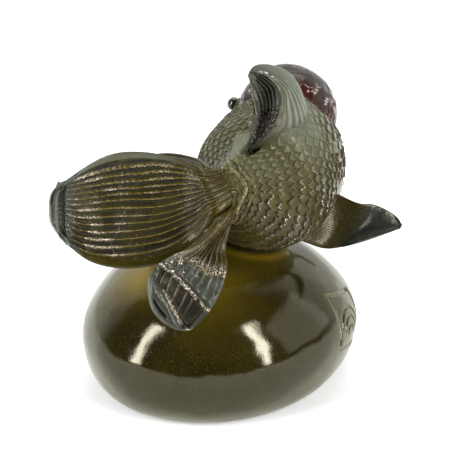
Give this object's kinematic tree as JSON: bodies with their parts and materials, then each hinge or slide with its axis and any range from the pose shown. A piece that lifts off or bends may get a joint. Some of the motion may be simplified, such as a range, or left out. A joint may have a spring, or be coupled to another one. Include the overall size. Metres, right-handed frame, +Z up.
{
  "type": "goldfish figurine",
  "caption": "Cast figurine of a round-bodied goldfish with a domed head cap and swept fan tail, resting on a smooth flat-bottomed pebble.",
  "frame": {"origin": "centre of the pebble's flat underside, on the surface the figurine stands on", "axes": "+Z up, +Y towards the fish's head, +X to the fish's right"},
  "size_m": [0.0848, 0.0884, 0.0871],
  "materials": {
    "pebble": "glossy translucent olive-brown cast resin with fine gold specks",
    "body": "glossy translucent olive cast resin with a fine scale relief",
    "tail": "glossy translucent olive cast resin, dark in the flutes, gold on the rays",
    "fins": "glossy smoky olive cast resin darkening to near black at the tips",
    "cap": "glossy dark maroon cast resin, brighter red where it is thin",
    "eyes": "polished black bead",
    "dowel": "plain hardwood rod"
  },
  "bodies": {
    "root": {"pebble_base": "pebble", "mounting_dowel": "dowel", "fish_body": "body", "head_cap": "cap", "left_eye": "eyes", "right_eye": "eyes", "dorsal_fin": "fins", "tail_upper_right": "tail", "tail_lower_right": "tail", "tail_upper_left": "tail", "tail_lower_left": "tail", "right_pectoral_fin": "fins", "left_pectoral_fin": "fins", "right_pelvic_fin": "fins", "left_pelvic_fin": "fins"}
  },
  "joints": []
}
